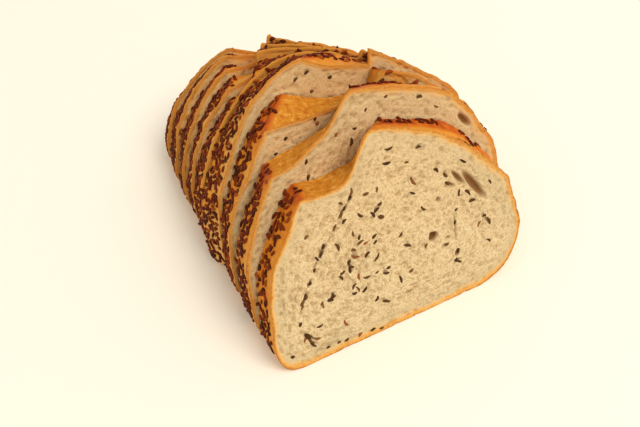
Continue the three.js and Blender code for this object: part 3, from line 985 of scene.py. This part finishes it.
def crust_material():
    """Browned in blotches by the baking number, which carries a little painted shade on the left flank,
    with the groove's own smooth orange mixed in.
    """
    material, tree = new_material("oven_baked_crust")
    spots = grain(tree, per_mm=0.35, detail=4)
    fine = grain(tree, per_mm=1.2, detail=3)
    uneven = plus(tree, times(tree, spots, 0.5), -0.25)
    browned = ramp(tree, plus(tree, attribute(tree, "bake_and_shade"), uneven), CRUST_STOPS)
    blotches = plus(tree, times(tree, spots, 0.6), times(tree, fine, 0.4))
    tone = mix(tree, attribute(tree, "groove"), browned, ramp(tree, blotches, GROOVE_STOPS))
    relief = plus(tree, spots, times(tree, fine, 0.5))
    dress(tree, tone, roughness=0.65, gloss=0.2, height=relief, strength=0.5, deep=0.7)
    return material


# %% [markdown]
# ### Caraway husk
# The seed is half of a dried fruit: a curved, ribbed husk. On the crust the oven toasted it to a
# dark reddish brown, and inside the crumb it stayed a dull brown. Each seed has a tint number of
# its own, and the ribs are slightly paler lines along it.


# %% Seed material
SEED_STOPS = {
    "toasted_caraway_husk": [(0.0, "380D03"), (0.45, "5A1804"), (0.8, "7A2906"), (1.0, "A04C12")],
    "caraway_husk_in_crumb": [(0.0, "38230F"), (0.5, "4C3115"), (0.8, "6C4822"), (1.0, "96502A")],
}
RIB_SHARE = 0.1
RIB_BROWN = "A8602C"


def seed_material(name):
    """The tint number picks each seed's brown, and its ribs get a little of a paler one."""
    material, tree = new_material(name)
    tone = ramp(tree, attribute(tree, "tint"), SEED_STOPS[name])
    tone = mix(tree, times(tree, attribute(tree, "rib"), RIB_SHARE), tone, linear(RIB_BROWN))
    dress(tree, tone, roughness=0.6, gloss=0.1)
    return material


CRUMB = crumb_material()
CRUST = crust_material()
print("materials:", [m.name for m in bpy.data.materials])

# %% [markdown]
# ## Building the slices
# Each slice replaces its plain solid and rides on the one body that the row has.

# %% Slices
strips = []
for i, node in enumerate(NODES):
    bread, strip = slice_mesh(i, f"{node}_bread")
    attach(bread, "root")
    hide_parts(node)
    strips.append(strip)
    print(bread.name, len(bread.data.polygons), "faces")

# %% [markdown]
# ## Caraway seeds
# A caraway seed is a crescent 4 to 6 mm long and more than a millimetre thick, tapered at both
# ends. Thousands are needed, so one seed has only four rings of five points and two tips, and is a
# little shorter and plumper than a real one, to read at this size. All seeds of a kind are joined
# into one mesh by whole arrays: every seed's points are the same crescent, stretched, turned and
# moved.

# %% One seed, and many
SEED_LENGTH, SEED_WIDTH, SEED_HEIGHT = 3.9, 2.0, 1.35
SEED_BEND = 0.13
SEED_BEND_SHARES = (0.4, 1.5)
SEED_TAPER = 0.55
SEED_FLOOR = 0.05
SEED_RINGS = np.array([-0.4, -0.15, 0.15, 0.4])
SEED_SIDES = 5


def one_seed():
    """Points, triangles and ribs of a straight seed 1 long, 1 wide and 1 high. Its rings have the
    radius 0.5 (1 - (2x)^2)^0.55."""
    radius = 0.5 * (1 - (2 * SEED_RINGS) ** 2) ** SEED_TAPER
    a = np.arange(SEED_SIDES) * 2 * np.pi / SEED_SIDES
    x = np.repeat(SEED_RINGS, SEED_SIDES)
    y = (radius[:, None] * np.cos(a)).ravel()
    z = (radius[:, None] * np.sin(a)).ravel()
    points = np.vstack([np.stack([x, y, z], axis=-1), [[-0.5, 0, 0], [0.5, 0, 0]]])
    rib = np.r_[np.tile(np.arange(SEED_SIDES) % 3 == 1, len(SEED_RINGS)), 0, 0]
    faces = []
    far = (len(SEED_RINGS) - 1) * SEED_SIDES
    for first in range(0, far, SEED_SIDES):
        for k in range(SEED_SIDES):
            a0, a1 = first + k, first + (k + 1) % SEED_SIDES
            faces += [(a0, a0 + SEED_SIDES, a1), (a1, a0 + SEED_SIDES, a1 + SEED_SIDES)]
    tip, end = len(points) - 2, len(points) - 1
    for k in range(SEED_SIDES):
        faces += [(tip, k, (k + 1) % SEED_SIDES), (end, far + (k + 1) % SEED_SIDES, far + k)]
    return points, np.array(faces), rib


def seed_piece(name, places, longs, ups, sizes, tints, material, rng):
    """All seeds of one kind as one mesh. longs and ups are each seed's directions, and its third
    axis is their cross product. Each is bent sideways by up to (1 - (2x)^2) of its bend."""
    shape, faces, rib = one_seed()
    sides = np.cross(ups, longs)
    sides /= np.linalg.norm(sides, axis=1, keepdims=True)
    count = len(places)
    bend = SEED_BEND * rng.choice([-1, 1], count) * rng.uniform(*SEED_BEND_SHARES, count)
    x = shape[:, 0] * sizes[:, :1]
    curve = bend[:, None] * (1 - (2 * shape[:, 0]) ** 2) * sizes[:, :1]
    y = shape[:, 1] * sizes[:, 1:2] + curve
    z = shape[:, 2] * sizes[:, 2:3]
    points = (places[:, None] + x[..., None] * longs[:, None] + y[..., None] * sides[:, None]
              + z[..., None] * ups[:, None])
    points[..., 2] = np.maximum(points[..., 2], SEED_FLOOR)
    all_faces = (faces[None] + np.arange(count)[:, None, None] * len(shape)).reshape(-1, 3)
    values = {"tint": np.repeat(tints, len(shape)), "rib": np.tile(rib, count)}
    obj = link(name, points.reshape(-1, 3), all_faces.ravel(), np.full(len(all_faces), 3), values,
               [material], np.zeros(len(all_faces)))
    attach(obj, "root")
    print(name, count, "seeds,", len(all_faces), "triangles")


# %% [markdown]
# ### Seeds on the crust
# The dough was rolled in seeds before the slashes were cut, so they lie flat and anyhow on the
# crust, thickest over the left flank and the top, and none lie in the grooves or on the base. Spots
# are drawn at random by the crust's area, and one that would sit on an earlier seed is dropped.

# %% Scatter over the crust
CRUST_SEEDS = 4900
SEED_SPACING = 2.0
SEED_TRIES = 3600
SEED_RISE = 0.25
FACE_SEED_TRIES = 1300
FACE_SEED_MARGIN = 0.8
BARE_CREST = (10.5, 13)
CREST_BARE_SLICES = 3
CREST_REACH = (30, 66)
REAR_CREST_REACH = (12, 48)
LEAST_CHANCE = 0.05
TABLE_CLEARANCE = (3, 12)
GROOVE_LIMIT = (0.12, 0.4)
LOBE_CLEARANCE = (0.5, 4.5)
SEED_TILT = 0.12
SEED_SIZES = (0.8, 1.15)
FIRST_SLICE_SHARE = 0.5
BARE_FRONT = [(2, 8), (2, 7), (2, 7), (1.5, 5), (1, 3), (1.5, 4), (1.5, 4), (1.5, 4), (1, 3)]


def spots_on_strip(strip, rng, tries):
    """Random places by area: a quad is drawn by its area, and a point in it by two shares."""
    points = np.stack([strip["x"], strip["t"], strip["z"]], axis=-1)
    closed = np.concatenate([points, points[:, :1]], axis=1)
    a, b = closed[:-1, :-1], closed[:-1, 1:]
    c, d = closed[1:, :-1], closed[1:, 1:]
    normal = np.cross(d - a, c - b)
    area = np.linalg.norm(normal, axis=-1)
    pick = rng.choice(area.size, tries, p=(area / area.sum()).ravel())
    r, k = np.unravel_index(pick, area.shape)
    u, v = rng.random((2, tries, 1))
    place = (a[r, k] * (1 - u) + b[r, k] * u) * (1 - v) + (c[r, k] * (1 - u) + d[r, k] * u) * v
    up = -normal[r, k] / area[r, k, None]
    long = (b - a)[r, k]
    return place, up, long / np.linalg.norm(long, axis=1, keepdims=True), strip["groove"][r, k]


def inside_face(i, x, z, margin):
    """True where a point of the cut face is at least margin inside the outline, and twice as much
    from its sides."""
    rim_x, rim_z = outline(i, 0.0, 0.0)
    upper = OUTLINE_STEPS["base_right"] + OUTLINE_STEPS["corner_right"]
    lower = POINTS - OUTLINE_STEPS["base_left"] - OUTLINE_STEPS["corner_left"]
    order = np.argsort(rim_x[0, upper:lower])
    top = np.interp(x, rim_x[0, upper:lower][order], rim_z[0, upper:lower][order])
    across = (x > rim_x.min() + margin * 2) & (x < rim_x.max() - margin * 2)
    return across & (z > margin) & (z < top - margin)


def spots_on_face(i, rng, tries):
    """Random places on the browned part of a rear slice's face, kept by how brown it is there."""
    rim_x, rim_z = outline(i, 0.0, 0.0)
    x = rng.uniform(rim_x.min(), rim_x.max(), tries)
    z = rng.uniform(0, rim_z.max(), tries)
    brown = crusted_face(i, x, z, edge_distance(x, z, rim_x[0], rim_z[0]))
    keep = inside_face(i, x, z, FACE_SEED_MARGIN) & (rng.random(tries) < brown)
    x, z = x[keep], z[keep]
    flat = np.ones((len(x), 1))
    return np.stack([x, 0 * x, z], axis=-1), flat * [0.0, -1, 0], flat * [1.0, 0, 0]


def seed_chance(i, place, groove):
    """How likely a spot keeps its seed: full on the left flank, less on the top and hardly any on
    the right, none in a groove, near the table or near the front cut edge."""
    x, t, z = place.T
    first = slashes(i, np.clip(t, 0, SLICE_THICK))[0]
    is_front = i < CREST_BARE_SLICES
    crest_reach = CREST_REACH if is_front else REAR_CREST_REACH
    chance = LEAST_CHANCE + (1 - LEAST_CHANCE) * (1 - smooth(*crest_reach, x))
    chance *= FIRST_SLICE_SHARE if i == 0 else 1
    chance *= smooth(*TABLE_CLEARANCE, z - t * math.tan(LEANS[i])) * (1 - smooth(*GROOVE_LIMIT, groove))
    below = is_front & (x < first["lobe"])
    chance *= np.where(below, smooth(*LOBE_CLEARANCE, first["lobe"] - x), 1)
    on_crest = is_front & (x > first["lip"])
    return chance * np.where(on_crest, smooth(*BARE_CREST, t), smooth(*BARE_FRONT[i], t))


def turned(i, *direction):
    """A direction in slice i's axes, turned into the row's frame."""
    return to_row(i, *direction) - to_row(i, 0, 0, 0)


rng = np.random.default_rng(5)
kept = []
for i, strip in enumerate(strips):
    place, up, long, groove = spots_on_strip(strip, rng, SEED_TRIES)
    keep = rng.random(SEED_TRIES) < seed_chance(i, place, groove)
    on_face = spots_on_face(i, rng, FACE_SEED_TRIES)
    place, up, long = (np.vstack([a[keep], b]) for a, b in zip((place, up, long), on_face))
    chosen = []
    for k in range(len(place)):
        if np.all(np.sum((place[chosen] - place[k]) ** 2, axis=-1) > SEED_SPACING**2):
            chosen.append(k)
    place, up, long = place[chosen], up[chosen], long[chosen]
    turn = rng.uniform(0, np.pi, len(place))[:, None]
    across = np.cross(up, long)
    direction = long * np.cos(turn) + across * np.sin(turn) + SEED_TILT * up * rng.normal(size=turn.shape)
    direction /= np.linalg.norm(direction, axis=1, keepdims=True)
    place = place + up * SEED_RISE
    kept.append((to_row(i, *place.T), turned(i, *direction.T), turned(i, *up.T)))
    print(NODES[i], "crust seeds", len(place))

places, longs, ups = (np.vstack(part) for part in zip(*kept))
some = rng.permutation(len(places))[:CRUST_SEEDS]
places, longs, ups = places[some], longs[some], ups[some]
sizes = np.array([SEED_LENGTH, SEED_WIDTH, SEED_HEIGHT]) * rng.uniform(*SEED_SIZES, (len(places), 3))
seed_piece("crust_seeds", places, longs, ups, sizes, rng.random(len(places)),
           seed_material("toasted_caraway_husk"), rng)

# %% [markdown]
# ### Seeds in the crumb
# The front cut face shows every seed that the blade met. They are placed one by one where the
# picture has them, as (pixel x, pixel y, direction in degrees, length in pixels). The ray through
# the pixel is carried to the cut face, so the seed sits in the crumb from any side. The other faces
# get the few seeds that show above the slice in front, and random ones below.

# %% Seeds that the picture shows
FRONT_SEEDS = [
    (366, 194, 20, 7), (378, 190, 80, 8), (380, 204, 35, 4), (341, 204, -20, 5), (377, 211, 48, 9),
    (373, 215, 130, 7), (381, 217, -25, 6), (361, 215, -28, 7), (389, 148, 20, 9), (387, 163, 15, 9),
    (351, 192, 84, 8), (350, 198, 60, 5), (344, 209, 62, 6), (341, 215, 75, 7), (335, 228, 70, 8),
    (323, 247, 70, 6), (322, 255, 66, 8), (318, 259, 130, 6), (315, 271, 70, 5), (310, 284, 60, 5),
    (306, 297, 75, 6), (303, 304, 60, 6), (345, 222, 55, 7), (307, 238, 45, 6), (337, 248, -62, 9),
    (354, 234, -75, 6), (360, 238, 75, 6), (361, 243, 40, 8), (366, 243, 30, 6), (375, 237, 50, 7),
    (375, 242, 50, 7), (354, 251, 0, 5), (356, 256, -5, 9), (368, 255, 55, 8), (377, 257, 62, 10),
    (350, 263, 75, 6), (352, 267, -10, 6), (350, 271, -70, 6), (343, 274, 40, 8), (341, 279, -40, 6),
    (360, 277, -80, 7), (367, 277, 10, 8), (377, 272, 45, 6), (389, 268, 20, 4), (387, 273, 5, 7),
    (355, 287, 60, 8), (358, 290, -60, 7), (355, 293, 20, 6), (365, 290, 50, 8), (332, 296, 70, 7),
    (331, 301, 10, 7), (334, 298, 40, 6), (377, 299, 65, 7), (387, 302, -3, 8), (322, 304, 60, 5),
    (382, 217, -25, 6), (424, 208, -40, 6), (457, 210, 60, 4), (455, 223, 70, 3), (459, 251, 80, 6),
    (457, 260, 80, 5), (460, 261, -20, 5), (427, 246, 70, 6), (408, 246, -6, 8), (401, 235, 60, 6),
    (447, 244, 20, 5), (480, 224, 65, 8), (489, 221, -65, 8), (485, 216, 20, 4), (489, 241, -35, 5),
    (401, 280, -72, 8), (412, 271, 50, 4), (414, 181, -55, 10), (413, 193, -15, 6), (436, 171, -35, 6),
    (446, 175, -45, 6), (464, 161, -28, 7), (447, 184, -40, 5), (460, 193, 85, 8), (468, 193, -42, 9),
    (473, 201, 20, 7), (490, 182, -55, 5), (306, 298, 70, 6), (302, 307, 70, 6), (323, 306, -65, 7),
    (320, 326, 25, 8), (301, 325, 70, 5), (347, 323, -52, 7), (308, 337, -35, 8), (312, 341, -40, 9),
    (306, 341, 60, 6), (318, 338, 0, 7), (314, 345, -30, 8), (329, 348, 30, 4), (340, 343, 35, 5),
    (347, 340, 35, 6), (361, 335, 50, 6), (374, 330, 40, 6), (382, 328, 20, 5), (396, 324, 25, 7),
    (405, 321, 20, 5), (293, 357, 10, 3), (419, 148, 15, 6), (407, 163, 10, 4),
]
SECOND_SEEDS = [
    (337, 135, 60, 5), (351, 142, 84, 9), (306, 162, 75, 6), (309, 178, 75, 7), (304, 154, 60, 4),
    (355, 128, 10, 5), (420, 97, 10, 6), (437, 106, -20, 5), (386, 96, 30, 5), (366, 110, 70, 5),
]
THIRD_SEEDS = [
    (298, 110, 30, 5), (276, 154, 30, 4), (316, 118, 75, 7), (318, 124, 60, 5), (286, 139, 40, 4),
]
FOURTH_SEEDS = [(307, 73, 40, 6), (296, 80, 50, 6), (312, 92, 30, 4), (330, 77, 20, 5)]
PICTURE_SEEDS = {0: FRONT_SEEDS, 1: SECOND_SEEDS, 2: THIRD_SEEDS, 3: FOURTH_SEEDS}
RANDOM_CRUMB_SEEDS = 46
CRUMB_SEED_DEPTH = 0.15
PICTURE_SEED_MARGIN = 0.9
RANDOM_LOW = (-50, 5)
RANDOM_RIGHT = 75
RANDOM_SEED_MARGIN = 4
SEEN_SLICES = 4
HIDDEN_SHARE = 0.7
HALF_LENGTHS = (1.6, 2.6)
SHORTEST, LONGEST = 2.2, 5.4
CRUMB_SEED_WIDTHS = (1.15, 1.7)
CRUMB_SEED_HEIGHTS = (0.8, 1.1)


def crumb_seed_rows(i, rng):
    """Middles and tips of the seeds in slice i's front face, in its x and z: those that the picture
    shows, and random ones on every slice but the first."""
    marks = np.reshape([picture_mark(i, *seed) for seed in PICTURE_SEEDS.get(i, [])], (-1, 2, 2))
    marks = marks[inside_face(i, marks[:, 0, 0], marks[:, 0, 1], PICTURE_SEED_MARGIN)]
    if i:
        crest = float(section(np.float64(i * SLICE_THICK))["crest"])
        crest = crest * (HIDDEN_SHARE if i < SEEN_SLICES else 1)
        xz = rng.uniform(RANDOM_LOW, (RANDOM_RIGHT, crest), (RANDOM_CRUMB_SEEDS, 2))
        turn = rng.uniform(0, np.pi, len(xz))
        half = np.stack([np.cos(turn), np.sin(turn)], axis=-1) * rng.uniform(*HALF_LENGTHS, (len(xz), 1))
        good = inside_face(i, xz[:, 0], xz[:, 1], RANDOM_SEED_MARGIN)
        marks = np.vstack([marks, np.stack([xz, xz + half], axis=1)[good]])
    return marks[:, 0], marks[:, 1]


rng = np.random.default_rng(8)
kept = []
for i in range(SLICES):
    middles, tips = crumb_seed_rows(i, rng)
    reach = np.linalg.norm(tips - middles, axis=1)
    along = (tips - middles) / reach[:, None]
    zero = np.zeros(len(middles))
    depth = CRUMB_RECESS + CRUMB_SEED_DEPTH * rng.uniform(-0.5, 1.5, len(middles))
    kept.append((to_row(i, middles[:, 0], depth, middles[:, 1]), turned(i, along[:, 0], 0, along[:, 1]),
                 turned(i, zero, -1, 0), np.clip(2 * reach, SHORTEST, LONGEST)))

places, longs, ups, lengths = (np.concatenate(part) for part in zip(*kept))
widths = rng.uniform(*CRUMB_SEED_WIDTHS, len(lengths))
heights = rng.uniform(*CRUMB_SEED_HEIGHTS, len(lengths))
seed_piece("crumb_seeds", places, longs, ups, np.stack([lengths, widths, heights], axis=-1),
           rng.random(len(places)) ** 1.5, seed_material("caraway_husk_in_crumb"), rng)

# %% [markdown]
# ## Table and light
# The loaf stands on a plain white table under a large soft light from the upper right, with plenty
# of light from all round, so its shadow is short, pale and warm and falls to the left.


# %% Table
TABLE_HALF = 3000
table_material, tree = new_material("matte_white_table")
dress(tree, linear("F8F3EA"), roughness=0.8, gloss=0.5)
table_points = np.array([[-1, -1, 0], [1, -1, 0], [1, 1, 0], [-1, 1, 0]]) * TABLE_HALF
table = link("table", table_points, np.arange(4), np.array([4]), {}, [table_material], np.zeros(1))

# %% Window and room
WINDOW_PLACE = np.array([825, -1200, 2375])
WINDOW_AIM = np.array([0, 0, 30])
WINDOW_SIZE = 1500
WINDOW_WATTS = 46
ROOM_STRENGTH = 0.75

window_data = bpy.data.lights.new("window", "AREA")
window_data.size = WINDOW_SIZE * MM
window_data.energy = WINDOW_WATTS
window_data.color = linear("FFF7EA")[:3]
window = into_scene("window", window_data)
window.location = WINDOW_PLACE * MM
x, y, z = WINDOW_PLACE - WINDOW_AIM
window.rotation_euler = (math.atan2(math.hypot(x, y), z), 0, math.atan2(x, -y))

world = bpy.data.worlds.new("white_room")
bpy.context.scene.world = world
world.use_nodes = True
room = world.node_tree.nodes["Background"].inputs
room["Color"].default_value = linear("FFF9EB")
room["Strength"].default_value = ROOM_STRENGTH
bpy.context.scene.view_settings.view_transform = "Standard"
